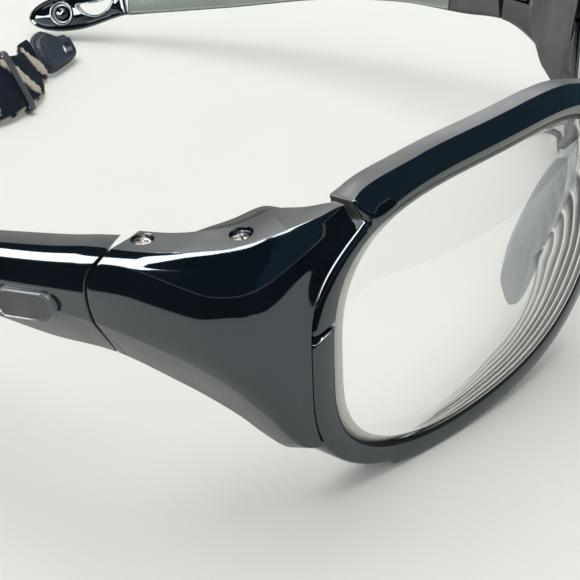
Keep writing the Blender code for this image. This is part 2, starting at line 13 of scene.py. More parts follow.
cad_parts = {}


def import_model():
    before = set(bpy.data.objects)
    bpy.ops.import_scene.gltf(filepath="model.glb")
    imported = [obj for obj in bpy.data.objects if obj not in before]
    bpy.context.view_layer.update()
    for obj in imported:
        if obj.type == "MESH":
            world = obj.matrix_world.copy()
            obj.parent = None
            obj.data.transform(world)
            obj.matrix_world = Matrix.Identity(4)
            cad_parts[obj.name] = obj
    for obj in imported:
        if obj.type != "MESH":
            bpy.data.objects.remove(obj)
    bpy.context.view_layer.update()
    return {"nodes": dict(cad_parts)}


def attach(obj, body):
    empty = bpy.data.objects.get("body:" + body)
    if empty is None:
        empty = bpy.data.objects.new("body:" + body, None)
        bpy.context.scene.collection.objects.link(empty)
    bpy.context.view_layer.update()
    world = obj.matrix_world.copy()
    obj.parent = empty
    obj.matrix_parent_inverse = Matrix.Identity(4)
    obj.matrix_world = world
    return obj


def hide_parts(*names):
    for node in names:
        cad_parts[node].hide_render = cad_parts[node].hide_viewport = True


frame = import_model()

# Sizes are in millimetres and angles in degrees. DEPTH_CENTRE is the depth that world() puts at zero.
MM = 0.001
DEPTH_CENTRE = 78.2
GAP = 0.3
SIDES = {"right": -1, "left": 1}

LENS_CENTRE = (34.3, 22.9)
LENS_HALF_WIDTH, LENS_UP, LENS_DOWN = 26.1, 17.8, 19.1
UPPER_SQUARENESS, LOWER_SQUARENESS = 3.1, 2.65
OUTWARD_DROOP, BROW_LIFT = 0.11, 0.07
WRAP_RADIUS, BASE_RADIUS, RAKE = 104.0, 127.0, 0.11
RIM_SIDE, RIM_TOP, RIM_BOTTOM, RIM_DEPTH = 3.2, 3.8, 3.2, 5.0
GROOVE_DEPTH, LENS_BEVEL = 1.15, 0.68
SPLIT_UPPER_END, SPLIT_LOWER_END, SPLIT_SKEW = 12.3, 370.2, 4.3
BROW_STEP, COVER_STEP = 50.5, 46.9
BROW_WIDE, COVER_WIDE = -0.15, -0.25
BRIDGE_TOP, BRIDGE_BOTTOM = 39.2, 27.0
RIM_CAP = [(0, 1, 2, 11, 12), (2, 3, 4, 11), (11, 4, 5, 10), (10, 5, 6, 7), (10, 7, 8, 9)]
LUG_SHARES = {"upper": (0.37, 0.55), "lower": (0.6, 0.82)}
NOSE_PAD_SPINE = [(5.8, 8.9, 28.0), (8.4, 9.4, 22.4), (10.6, 9.9, 16.8), (12.0, 10.0, 10.8), (12.2, 9.8, 4.8)]
NOSE_PAD_HALF_DEPTH, NOSE_PAD_HALF_THICKNESS = 3.7, 0.95

# Painted reflections of the ground edge inside the lens: how many lines, where they start and end, how deep, and how
# pale and solid across one.
RING_COUNT, RING_FIRST, RING_LAST, RING_DEPTH = 7, 140, 306, 0.46
RING_TONES = [(0.0, 1.0), (0.1, 0.95), (0.18, 0.2), (0.32, 0.05), (0.55, 0.16), (0.8, 0.42), (0.92, 0.6), (0.97, 1.0)]
RING_COVER = [(0.0, 1.0), (0.12, 1.0), (0.2, 0.9), (0.35, 0.92), (0.6, 0.7), (0.85, 0.35), (0.93, 0.45), (0.97, 1.0)]

SEAM_GAP = 0.28
SEAM_TOP_ANGLE, SEAM_LOW_ANGLE = 49.2, -21.0
TOP_LINE = [(19.0, 40.9), (23.2, 39.4), (27.1, 38.2), (32.0, 37.9), (39.0, 37.3), (47.2, 35.1), (54.3, 33.4)]
TOP_LINE += [(80.0, 27.0), (110.0, 19.0), (135.0, 12.2)]
CREASE_LINE = [(17.5, 9.6), (21.0, 13.0), (23.7, 16.6), (27.7, 20.9), (33.5, 24.4), (41.9, 26.5), (55.4, 25.5)]
CREASE_LINE += [(80.0, 21.6), (110.0, 14.0), (135.0, 8.6)]
BOTTOM_LINE = [(17.5, 6.4), (22.3, 7.9), (27.4, 13.2), (33.4, 17.4), (40.9, 20.2), (50.7, 19.6), (66.0, 19.2)]
BOTTOM_LINE += [(85.0, 16.4), (110.0, 10.6), (135.0, 6.2)]
REAR_FACE = [(19.0, 40.4), (23.0, 41.5), (27.0, 42.0), (30.5, 42.0), (34.0, 41.2), (37.4, 39.0)]
TEMPLE_SPREAD = [(38.0, 73.6), (55.0, 74.4), (70.0, 74.3), (90.0, 72.6), (110.0, 68.8), (125.0, 64.0), (135.0, 60.2)]
HINGE_END_X = 73.7
DECK_START, DECK_WIDTH, DECK_DEPTH, WALL, FACET_INSET = 1.3, 4.5, 2.2, 1.1, 3.3
SKIN_STEPS = 26
HINGE = (70.6, 37.2)
RIM_SCREW = (65.0, 28.1)
KNUCKLE_RADIUS, KNUCKLE_LOW, KNUCKLE_HIGH = 1.2, 25.5, 33.5
HEAD_RADIUS, BORE_RADIUS, SINK_RADIUS = 1.15, 0.95, 1.26
TEMPLE_END, TEMPLE_THICKNESS, TIP_THICKNESS = 133.5, 3.8, 2.6
LINING_START, LINING_THICKNESS = 54.2, 1.3
BADGE_HALF_LENGTH, BADGE_HALF_HEIGHT, BADGE_CENTRE, BADGE_SLOPE = 4.6, 2.2, (51.3, 26.4), 0.2
BADGE_LEVELS = [(0.0, 0), (0.4, 0), (0.62, 0.1), (0.7, 0.3), (0.62, 0.55), (0.46, 0.66), (0.44, 0.9), (0.44, 1.6)]
# Height over the floor and fall of each tip, by side: the left one lies lower.
TIP_FLOOR = {1: 1.5, -1: 2.7}
TIP_DROP = {1: -5.5, -1: -4.2}
TIP_ORIGIN, TIP_LENGTH, TIP_WIDEST = (58.3, 134.2, 9.4), 25.0, 13.0
TIP_RING, TIP_RING_RADIUS = (16.4, 0.0), 2.3

STRAP_WIDTH, STRAP_END_WIDTH = 14.6, 9.8
STRAP_ROUTE = [(24.6, 140.9), (20.0, 139.6), (14.6, 134.6), (8.5, 132.6), (2.7, 133.3), (-6.0, 138.4), (-11.5, 147.5)]
STRAP_ROUTE += [(-15.5, 158.5), (-23.5, 166.5), (-34.0, 168.0), (-42.0, 162.5), (-45.6, 154.2)]
STRAP_LEVEL, STRAP_LEAN = 1.2, 63.0
TUFT_PERIOD, TUFT_SLANT = 13.5, 1.38
TAB_LENGTH, TAB_TIP_WIDTH = 15.5, 6.4
TAB_LEVELS = [(0.97, 0.0, 1), (1.0, 0.25, 1), (1.0, 0.8, 1), (0.965, 1.05, 1), (0.86, 1.1, 0.4), (0.84, 1.3, 0)]
TAB_LEVELS += [(0.83, 1.75, 0), (0.79, 1.98, 0), (0.72, 2.02, 0), (0.68, 1.88, 0), (0.4, 1.84, 0), (0.05, 1.84, 0)]
SLIDER_SPOTS = {"left": 0.26, "right": 0.93}

CAMERA_PLACE = (-149.03, -20.91, 96.11)
CAMERA_YAW, CAMERA_PITCH, CAMERA_ROLL = 63.04, -33.76, 2.57
CAMERA_LENS = 64.63
FLOOR_REACH = 2.4
# Near edge, in millimetres on the floor, of the sheet that paints a dark reflection into the gloss.
PAINTED_DARK_EDGE = [(-100, 300), (-92, 0), (-96, -18), (-103, -30), (-106, -50), (-115, -75), (-118, -95), (-108, -126)]
PAINTED_DARK_EDGE += [(-82, -142), (-56, -146), (0, -150), (900, -170)]
# Compass angle, lower and upper edge of what is seen only in reflections.
WINDOW_EDGES = [(-30, 1, 22), (-48, 0, 23), (-88, 1, 23), (-95, 4, 36), (-100, 9, 41), (-106, 16, 47), (-110, 21, 52)]
WINDOW_EDGES += [(-115, 26, 58), (-121, 31, 65), (-126, 38, 70), (-130, 42, 74), (-133, 46, 78), (-136, 52, 80)]
WINDOW_EDGES += [(-140, 60, 82)]
FRONT_WINDOW_EDGES = [(-143, 57, 78), (-147, 53, 75), (-153, 45, 70), (-159, 36, 60), (-163, 24, 48)]
FAR_WALL_EDGES = [(95, 0, 55), (120, 0, 60), (150, 0, 60), (180, 0, 55), (210, 0, 50)]


# Small maths


def world(p):
    return Vector((p[0] * MM, (p[1] - DEPTH_CENTRE) * MM, p[2] * MM))


def smooth_step(value, low, high):
    part = min(max((value - low) / (high - low), 0.0), 1.0)
    return part * part * (3 - 2 * part)


def mix(a, b, share):
    return a + (b - a) * share


def signed_power(value, power):
    return math.copysign(abs(value) ** power, value)


def through(points, place):
    """Height at one place of the smooth line through (place, height) points."""
    last = len(points) - 1
    i = 0
    while i < last - 1 and place > points[i + 1][0]:
        i += 1

    def slope(k):
        a, b = points[max(k - 1, 0)], points[min(k + 1, last)]
        return (b[1] - a[1]) / (b[0] - a[0])

    (x0, h0), (x1, h1) = points[i], points[i + 1]
    span = x1 - x0
    t = min(max((place - x0) / span, 0.0), 1.0)
    start = h0 * (2 * t**3 - 3 * t * t + 1) + slope(i) * span * (t**3 - 2 * t * t + t)
    end = h1 * (3 * t * t - 2 * t**3) + slope(i + 1) * span * (t**3 - t * t)
    return start + end


def bezier(a, b, c, d, t):
    return a * (1 - t) ** 3 + b * 3 * t * (1 - t) ** 2 + c * 3 * t * t * (1 - t) + d * t**3


def smooth_route(points, steps):
    ends = [points[0]] + list(points) + [points[-1]]
    route = []
    for i in range(1, len(ends) - 2):
        p0, p1, p2, p3 = (Vector(p) for p in ends[i - 1 : i + 3])
        for k in range(steps):
            t = k / steps
            bend = (2 * p0 - 5 * p1 + 4 * p2 - p3) * t * t + (3 * p1 - p0 - 3 * p2 + p3) * t**3
            route.append(0.5 * (2 * p1 + (p2 - p0) * t + bend))
    return route + [Vector(points[-1])]


def circle(count):
    turns = [2 * math.pi * k / count for k in range(count)]
    return [(math.cos(a), math.sin(a)) for a in turns]


# Finishes


def new_material(name):
    made = bpy.data.materials.new(name)
    made.use_nodes = True
    tree = made.node_tree
    return made, tree, tree.nodes["Principled BSDF"]


def maths_node(tree, operation, *values):
    made = tree.nodes.new("ShaderNodeMath")
    made.operation = operation
    for value, socket in zip(values, made.inputs):
        tree.links.new(value, socket)
    return made.outputs[0]


def feed(node, **values):
    """Sets a node's inputs by name, each from a plain value or from another node's output."""
    for name, value in values.items():
        socket = node.inputs[name.replace("_", " ")]
        if isinstance(value, bpy.types.NodeSocket):
            node.id_data.links.new(value, socket)
        else:
            socket.default_value = value
    return node


def attribute_node(tree, name):
    made = tree.nodes.new("ShaderNodeAttribute")
    made.attribute_name = name
    return made.outputs["Fac"]


def noise_node(tree, scale, detail=3.0):
    place = tree.nodes.new("ShaderNodeTexCoord").outputs["Object"]
    made = tree.nodes.new("ShaderNodeTexNoise")
    return feed(made, Vector=place, Scale=scale, Detail=detail, Roughness=0.55).outputs["Fac"]


def spread_node(tree, value, low, high, from_low=0.35, from_high=0.65):
    made = tree.nodes.new("ShaderNodeMapRange")
    return feed(made, Value=value, From_Min=from_low, From_Max=from_high, To_Min=low, To_Max=high).outputs["Result"]


def blend_node(tree, share, first, second):
    made = tree.nodes.new("ShaderNodeMix")
    made.data_type = "RGBA"
    tree.links.new(share, made.inputs["Factor"])
    for socket, colour in (("A", first), ("B", second)):
        target = [s for s in made.inputs if s.name == socket and s.type == "RGBA"][0]
        if hasattr(colour, "links"):
            tree.links.new(colour, target)
        else:
            target.default_value = (*colour, 1.0)
    return [s for s in made.outputs if s.type == "RGBA"][0]


def bump_node(tree, height, strength, distance, **under):
    made = tree.nodes.new("ShaderNodeBump")
    return feed(made, Height=height, Strength=strength, Distance=distance, **under).outputs["Normal"]


def finish(name, colour, second, roughness, patch, grain, bump, dust=0.0, **sockets):
    """A moulded finish: two close colours in patches, uneven roughness, fine grain and, if asked, specks of dust."""
    made, tree, shader = new_material(name)
    painted = blend_node(tree, spread_node(tree, noise_node(tree, patch), 0, 1), colour, second)
    if dust:
        place = tree.nodes.new("ShaderNodeTexCoord").outputs["Object"]
        cells = feed(tree.nodes.new("ShaderNodeTexVoronoi"), Vector=place, Scale=330)
        speck = spread_node(tree, cells.outputs["Distance"], 1, 0, 0.03, 0.06)
        patches = spread_node(tree, noise_node(tree, 90), 0, dust, 0.5, 0.62)
        painted = blend_node(tree, maths_node(tree, "MULTIPLY", speck, patches), painted, (0.5, 0.52, 0.5))
    uneven = spread_node(tree, noise_node(tree, patch * 2.3, 5), *roughness)
    if bump:
        sockets["Normal"] = bump_node(tree, noise_node(tree, grain, 4), bump, 0.0001)
    feed(shader, Base_Color=painted, Roughness=uneven, **sockets)
    return made


GLOSS = finish("gloss_black", (0.003, 0.005, 0.009), (0.006, 0.009, 0.014), (0.03, 0.075), 60, 900, 0.025, dust=0.8,
               IOR=1.82, Specular_Tint=(0.82, 0.94, 1.0, 1.0))
# Satin finish, with its colour painted lighter than the frame's black for the light its matte faces catch.
SATIN_PAINTED_LIGHT = finish("satin_black_painted_light", (0.095, 0.102, 0.104), (0.112, 0.119, 0.12), (0.32, 0.42), 120, 5200, 0.12, IOR=1.5)
LIP = finish("lens_lip", (0.003, 0.004, 0.005), (0.006, 0.007, 0.008), (0.5, 0.6), 90, 3000, 0.05, IOR=1.3)
INNER = finish("satin_inside", (0.026, 0.032, 0.037), (0.036, 0.043, 0.048), (0.36, 0.46), 120, 5200, 0.12)
RUBBER = finish("dark_rubber", (0.055, 0.058, 0.055), (0.068, 0.071, 0.067), (0.62, 0.78), 150, 4200, 0.25)
LINING = finish("lining_rubber", (0.27, 0.32, 0.295), (0.31, 0.355, 0.33), (0.5, 0.65), 130, 4500, 0.2)
SILICONE = finish("grey_silicone", (0.48, 0.56, 0.6), (0.54, 0.62, 0.65), (0.28, 0.4), 140, 3000, 0.08,
                  Subsurface_Weight=0.25, Subsurface_Scale=0.002, Transmission_Weight=0.25)
GLASS = finish("clear_lens", (0.985, 0.99, 0.985), (0.99, 0.99, 0.99), (0.0, 0.012), 40, 900, 0.0,
               Transmission_Weight=1.0, IOR=1.5)
GROUND = finish("ground_edge", (0.60, 0.60, 0.565), (0.68, 0.68, 0.64), (0.35, 0.5), 300, 6000, 0.2)
STEEL = finish("screw_steel", (0.62, 0.6, 0.57), (0.5, 0.48, 0.45), (0.18, 0.36), 900, 7000, 0.2, Metallic=1.0)
NAVY = finish("navy_rubber", (0.009, 0.022, 0.045), (0.016, 0.032, 0.06), (0.42, 0.6), 260, 3600, 0.3)
SLIDER = finish("slider_plastic", (0.06, 0.07, 0.09), (0.08, 0.09, 0.112), (0.3, 0.42), 240, 4000, 0.15)
BADGE = finish("badge_plastic", (0.12, 0.135, 0.15), (0.16, 0.175, 0.19), (0.14, 0.24), 200, 3000, 0.06)


# Making meshes


def placed(name, data):
    obj = bpy.data.objects.new(name, data)
    bpy.context.scene.collection.objects.link(obj)
    return obj


def finished(name, mesh, body, materials, part=None, bevel=0.0, cuts=(), sharp=38):
    """Turns a bmesh in millimetres into a piece: bevelled, cut, smooth, riding on its body in its part's place."""
    bmesh.ops.recalc_face_normals(mesh, faces=mesh.faces)
    for vert in mesh.verts:
        vert.co = world(vert.co)
    data = bpy.data.meshes.new(name)
    mesh.to_mesh(data)
    mesh.free()
    obj = placed(name, data)
    for material in materials:
        data.materials.append(material)
    if bevel:
        edge = obj.modifiers.new("Bevel", "BEVEL")
        edge.width, edge.segments, edge.limit_method = bevel * MM, 3, "ANGLE"
        edge.angle_limit = math.radians(sharp)
    for operation, cutter in cuts:
        modifier = obj.modifiers.new("Cut", "BOOLEAN")
        modifier.operation, modifier.object, modifier.solver = operation, cutter, "EXACT"
    if obj.modifiers:
        settled = bpy.data.meshes.new_from_object(obj.evaluated_get(bpy.context.evaluated_depsgraph_get()))
        obj.modifiers.clear()
        obj.data = settled
        for _, cutter in cuts:
            bpy.data.objects.remove(cutter, do_unlink=True)
    obj.data.shade_smooth()
    obj.data.set_sharp_from_angle(angle=math.radians(sharp))
    if body:
        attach(obj, body)
        if part:
            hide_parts(part)
    return obj


def swept(rings, cap=None, closed=False, slot_of=None, cap_slot=0, loop=True, mesh=None):
    """A bmesh through rings of points, or more faces in a given one. slot_of(i, j) picks the material of the face
    after point j of ring i; closed joins the last ring to the first, and loop each ring's last point to its first."""
    mesh = bmesh.new() if mesh is None else mesh
    rows = [[mesh.verts.new(p) for p in ring] for ring in rings]
    pairs = list(zip(rows, rows[1:])) + ([(rows[-1], rows[0])] if closed else [])
    count = len(rows[0])
    for i, (a, b) in enumerate(pairs):
        for j in range(count if loop else count - 1):
            k = (j + 1) % count
            face = mesh.faces.new((a[j], a[k], b[k], b[j]))
            face.material_index = slot_of(i, j) if slot_of else 0
    if not closed and loop:
        for row in (rows[0], rows[-1]):
            for face in cap or [range(count)]:
                mesh.faces.new([row[j] for j in face]).material_index = cap_slot
    return mesh


def plain(name, rings):
    """A bare solid used to cut or join."""
    return finished(name, swept(rings), None, [])


def turned(start, axis, profile, sides=48):
    """Rings of a turned shape, from (distance along the axis, radius) points."""
    along = Vector(axis).normalized()
    across = along.orthogonal().normalized()
    third = along.cross(across)
    return [[Vector(start) + along * d + r * (across * c + third * s) for c, s in circle(sides)] for d, r in profile]


def prism(outline, low, high):
    return [[Vector((x, y, z)) for x, y in outline] for z in (low, high)]


# The front


def front_y(x, z):
    rise = z - LENS_CENTRE[1]
    return x * x / (2 * WRAP_RADIUS) + rise * rise / (2 * BASE_RADIUS) + RAKE * rise


def opening(angle, side=0.0, top=0.0, bottom=0.0):
    """The lens opening's outline at one angle about its centre, grown by so much sideways, upwards and downwards."""
    c, s = math.cos(math.radians(angle)), math.sin(math.radians(angle))
    power = 2 / (UPPER_SQUARENESS if s > 0 else LOWER_SQUARENESS)
    across = signed_power(c, power)
    up = signed_power(s, power)
    x = (LENS_HALF_WIDTH + side) * across
    z = (LENS_UP + top if s > 0 else LENS_DOWN + bottom) * up - OUTWARD_DROOP * x
    if s > 0:
        z += BROW_LIFT * x * up
    return LENS_CENTRE[0] + x, LENS_CENTRE[1] + z


def drawn_in(angle, step, wide):
    """Share of its width by which the rim is slimmed; negative over the brow, which ends in a step at one angle."""
    if angle > 300:
        angle -= 360
    slim = mix(0.17, 0.5, smooth_step(angle, 8, 44))
    full = wide * (1 - smooth_step(angle, 56, 74))
    return mix(slim, full, smooth_step(angle, step - 1.7, step + 1.7))


def rim_outline(angle):
    outer = Vector(opening(angle, RIM_SIDE, RIM_TOP, RIM_BOTTOM))
    x, z = outer.lerp(Vector(opening(angle)), drawn_in(angle, BROW_STEP, BROW_WIDE))
    pull = smooth_step(angle, 116, 140) * (1 - smooth_step(angle, 184, 206))
    bridge_z = mix(BRIDGE_TOP, BRIDGE_BOTTOM, smooth_step(angle, 136, 186))
    return x * (1 - pull), mix(z, bridge_z, pull)


def rim_section(angle):
    """Lens lip, bezel facet, front face, outer face and back; over the brow the front face leans back."""
    slit = 1 - smooth_step(angle, SPLIT_UPPER_END, 26) + smooth_step(angle, 356, SPLIT_LOWER_END)
    inner, outer = Vector(opening(angle)), Vector(rim_outline(angle - SPLIT_SKEW * slit))
    joined = outer.x < 1e-6
    width = (outer - inner).length
    along = (outer - inner) / width
    brow = smooth_step(angle, 44, 56) * (1 - smooth_step(angle, 112, 150))
    edge = 0.0 if joined else mix(0.5, 0.95, brow)
    back = RIM_DEPTH - (0 if joined else mix(0.8, 1.6, brow))
    ridge = min(mix(width - 0.55, 1.45, brow), width - 0.5)
    front = [(0, 0.5), (0.3, mix(0.3, 0.22, brow)), (ridge, mix(0.0, -0.25, brow))]
    front += [(width - mix(0.14, 0.04, brow), edge * mix(0.25, 0.96, brow)), (width, edge), (width, back)]
    front += [(width - mix(0.8, 2.6, brow), RIM_DEPTH), (0.4, RIM_DEPTH), (0, RIM_DEPTH - 0.4), (0, 4.0)]
    points = [(0.0 if joined and r == width else (inner + along * r).x, (inner + along * r).y, d) for r, d in front]
    groove = opening(angle, GROOVE_DEPTH, GROOVE_DEPTH, GROOVE_DEPTH)
    points += [(*groove, 3.1), (*groove, 2.1), (*inner, 1.2)]
    return [(x, front_y(x, z) + d, z) for x, z, d in points], joined, brow


def seam_point(share):
    angle = mix(SEAM_TOP_ANGLE, SEAM_LOW_ANGLE, share)
    outer = Vector(opening(angle, RIM_SIDE + SEAM_GAP, RIM_TOP + SEAM_GAP, RIM_BOTTOM + SEAM_GAP))
    x, z = outer.lerp(Vector(opening(angle)), drawn_in(angle, COVER_STEP, COVER_WIDE))
    return x, front_y(x, z) + 0.25, z


def belly(drop, height, strength):
    """How far the skin stands out of the straight line between its two edges: full near the top, easing below."""
    soft = 0.27 * height
    curve = 0.9 * 1.1 * (1 - math.exp(-drop / 1.1)) + 0.9 * soft * (1 - math.exp(-drop / soft))
    whole = 0.9 * 1.1 * (1 - math.exp(-height / 1.1)) + 0.9 * soft * (1 - math.exp(-height / soft))
    return strength * (curve - whole * drop / height)


def side_outer(share, t, full=True):
    """The side piece's outer skin: share 0 to 1 runs from its top edge to its crease, t from the rim to the hinge."""
    x0, y0, z0 = seam_point(share)
    top_z, low_z = seam_point(0)[2], seam_point(1)[2]
    height = (top_z - z0) / (top_z - low_z)
    rear_y = through(REAR_FACE, mix(37.3, 26.5, height))
    lead = Vector((0.84, 0.54)) * 6.5
    plan = bezier(Vector((x0, y0)), Vector((x0, y0)) + lead, Vector((HINGE_END_X - 0.5, rear_y - 9)),
                  Vector((HINGE_END_X, rear_y)), t)
    top = mix(top_z, through(TOP_LINE, plan.y), smooth_step(t, 0.0, 0.15))
    low = mix(low_z, through(CREASE_LINE, plan.y), smooth_step(t, 0.0, 0.3))
    point = Vector((plan.x, plan.y, mix(top, low, height)))
    if full:
        point -= inward(t) * belly((top - point.z), top - low, 0.85 * smooth_step(t, 0.02, 0.55))
    return point


def deck_width(t):
    return mix(DECK_START, DECK_WIDTH, smooth_step(t, 0.02, 0.3))


def inward(t):
    """Level direction out of the skin towards the head."""
    turn = math.radians(90) * smooth_step(t, -0.1, 1.0) ** 0.8
    return Vector((-math.sin(turn), math.cos(turn), 0))


def lug(side, upper, lower):
    """An ear of the split rim that reaches back inside the side piece."""
    rings = []
    for k in range(12):
        t = mix(-0.05, 0.37, k / 11)
        ends = [(side_outer(share, t, False), reach) for share in (upper, lower) for reach in (1.9, 4.5)]
        high_out, high_in, low_out, low_in = (point + inward(t) * reach for point, reach in ends)
        rings.append([(side * p.x, p.y, p.z) for p in (high_out, low_out, low_in, high_in)])
    return rings


def front_frame():
    steps = 240
    angles = [mix(SPLIT_UPPER_END, SPLIT_LOWER_END, k / steps) for k in range(steps + 1)]
    close_to_step = [BROW_STEP - 2.3 + 0.31 * k for k in range(16)]
    angles = sorted(angles + close_to_step)
    sections = [rim_section(a) for a in angles]
    mesh = bmesh.new()
    for side in SIDES.values():
        rows = [[mesh.verts.new((side * x, y, z)) for x, y, z in ring] for ring, _, _ in sections]
        for i, (a, b) in enumerate(zip(rows, rows[1:])):
            for j in range(len(a)):
                if j == 4 and sections[i][1] and sections[i + 1][1]:
                    continue
                k = (j + 1) % len(a)
                face = mesh.faces.new((a[j], a[k], b[k], b[j]))
                satin = j == 4 and 0.3 < sections[i][2]
                face.material_index = 2 if j in (0, 11, 12) else 3 if j in (5, 6) else 1 if satin else 0
        for row in (rows[0], rows[-1]):
            for face in RIM_CAP:
                mesh.faces.new([row[j] for j in face])
    bmesh.ops.remove_doubles(mesh, verts=mesh.verts, dist=1e-4)
    cuts = []
    for name, side in SIDES.items():
        cuts += [("UNION", plain(f"ear_{part}_{name}", lug(side, *shares))) for part, shares in LUG_SHARES.items()]
        drill = turned((side * RIM_SCREW[0], RIM_SCREW[1], 19.0), (0, 0, 1), [(0, BORE_RADIUS), (20, BORE_RADIUS)])
        cuts.append(("DIFFERENCE", plain(f"drill_{name}", drill)))
    finished("goggle_front", mesh, "front", [GLOSS, SATIN_PAINTED_LIGHT, LIP, INNER], "front_frame", 0.1, cuts)


def lens(name, side):
    turns = [2.5 * k for k in range(144)]

    def ring(grow, depth, share=1.0, bevel=0.0):
        points = []
        for angle in turns:
            reach = grow - bevel * max(math.cos(math.radians(angle + 32)), 0.0) ** 0.8
            x, z = opening(angle, reach, reach, reach)
            x, z = mix(LENS_CENTRE[0], x, share), mix(LENS_CENTRE[1], z, share)
            points.append((side * x, front_y(x, z) + depth, z))
        return points

    face = [0.02, 0.15, 0.3, 0.45, 0.6, 0.75, 0.9]
    rings = [ring(-0.5, 0.5, share, LENS_BEVEL) for share in face]
    rings += [ring(-0.9, 0.5, 1, LENS_BEVEL), ring(-0.5, 0.6, 1, LENS_BEVEL)]
    edge_start = len(rings) - 1
    rings += [ring(-0.35, 1.35), ring(0.8, 2.35), ring(0.8, 2.85), ring(-0.35, 3.85), ring(-0.5, 4.3)]
    edge_end = len(rings) - 1
    rings += [ring(-0.9, 4.25)] + [ring(-0.5, 4.2 - 0.2 * (1 - share), share) for share in reversed(face)]
    mesh = swept(rings, slot_of=lambda i, j: 1 if edge_start <= i < edge_end else 0)
    finished(f"lens_{name}_clear", mesh, "front", [GLASS, GROUND], f"lens_{name}", sharp=30)


def painted_reflection_material():
    """Painted reflections: pale and dark lines, one pair for every whole number of the mesh's ring value, on a clear
    ground.
    """
    made, tree, shader = new_material("edge_reflections")
    part = maths_node(tree, "FRACT", attribute_node(tree, "ring"))
    for socket, stops in (("Base Color", RING_TONES), ("Alpha", RING_COVER)):
        ramp = feed(tree.nodes.new("ShaderNodeValToRGB"), Fac=part)
        elements = ramp.color_ramp.elements
        for place, _ in stops[1:-1]:
            elements.new(place)
        elements[0].position, elements[len(stops) - 1].position = stops[0][0], stops[-1][0]
        for element, (_, tone) in zip(elements, stops):
            element.color = (tone, tone * 1.01, tone * 0.97, 1)
        level = ramp.outputs["Color"]
        if socket == "Alpha":
            level = maths_node(tree, "MULTIPLY", level, attribute_node(tree, "fade"))
        feed(shader, **{socket: level})
    feed(shader, Roughness=0.45, IOR=1.2)
    return made


def painted_edge_reflections(name, side):
    """Painted reflections of the ground edge, seen again and again inside the thick lens, low down and towards the
    nose.
    """
    steps, fine = 110, 10
    last = RING_COUNT * fine
    rows, marks = [], []
    for k in range(steps + 1):
        angle = mix(RING_FIRST, RING_LAST, k / steps)
        pitch = 0.45 + 2.3 * smooth_step(angle, RING_LAST, 205)
        soft = smooth_step(k, 0, 12) * (1 - smooth_step(k, steps - 26, steps))
        row = []
        for j in range(last + 1):
            reach = 0.5 + pitch * j / fine
            x, z = opening(angle, -reach, -reach, -reach)
            row.append((side * x, front_y(x, z) + RING_DEPTH, z))
            inner_fade = (1 - 0.6 * (j / last) ** 2) * (1 - smooth_step(j, last - 6, last))
            marks.append((j / fine, soft * inner_fade))
        rows.append(row)
    mesh = swept(rows, loop=False)
    obj = finished(f"lens_{name}_painted_edge_reflections", mesh, "front", [painted_reflection_material()])
    for label, values in zip(("ring", "fade"), zip(*marks)):
        obj.data.attributes.new(label, "FLOAT", "POINT").data.foreach_set("value", values)


def nose_pad(name, side):
    rings = []
    steps = 40
    for k in range(steps + 1):
        t = k / steps
        x, y, z = (through([(q / 4, p[i]) for q, p in enumerate(NOSE_PAD_SPINE)], t) for i in range(3))
        swell = math.sin(math.pi * mix(0.02, 0.985, t)) ** 0.5
        ring = []
        for c, s in circle(28):
            depth, thick = NOSE_PAD_HALF_DEPTH * swell * c, NOSE_PAD_HALF_THICKNESS * swell * s * (1 - 0.35 * c)
            ring.append((side * (x + 0.75 * depth - 0.6 * thick), y + 0.6 * depth + 0.75 * thick, z))
        rings.append(ring)
    pad = finished(f"nose_pad_{name}_soft", swept(rings), "front", [SILICONE], f"nose_pad_{name}")


def side_ring(t, wall, slant=0.0):
    """Section of the side piece: skin down to the crease, facet, inner wall and the underside of the deck."""
    shares = [(k / SKIN_STEPS) ** 1.45 for k in range(SKIN_STEPS + 1)]
    skin = [side_outer(share, t) for share in shares]
    base = [side_outer(share, t, False) for share in shares]
    normal = inward(t)

    def set_in(point, reach, height):
        moved = point + normal * reach
        y = through(REAR_FACE, height) - slant * reach / DECK_WIDTH if t == 1 else moved.y
        return Vector((moved.x, y, height))

    deck, crease = skin[0], skin[-1]
    bottom_z = through(BOTTOM_LINE, (crease + normal * FACET_INSET).y)
    bottom_z = mix(crease.z - 1.8, bottom_z, smooth_step(t, 0.0, 0.3))
    under_deck = deck.z - mix(0.3, DECK_DEPTH, smooth_step(t, 0.0, 0.25))
    wall_foot = crease.z + 0.6
    ring = skin + [set_in(crease, FACET_INSET, bottom_z), set_in(crease, FACET_INSET + 0.9, bottom_z + 1.1)]
    for point in reversed(base):
        height = (point.z - crease.z) / (deck.z - crease.z)
        ring.append(set_in(point, wall, mix(wall_foot, under_deck, height)))
    ring.append(set_in(deck, deck_width(t) + 0.1, under_deck))
    ring.append(set_in(deck, deck_width(t) + 0.1, deck.z))
    return ring


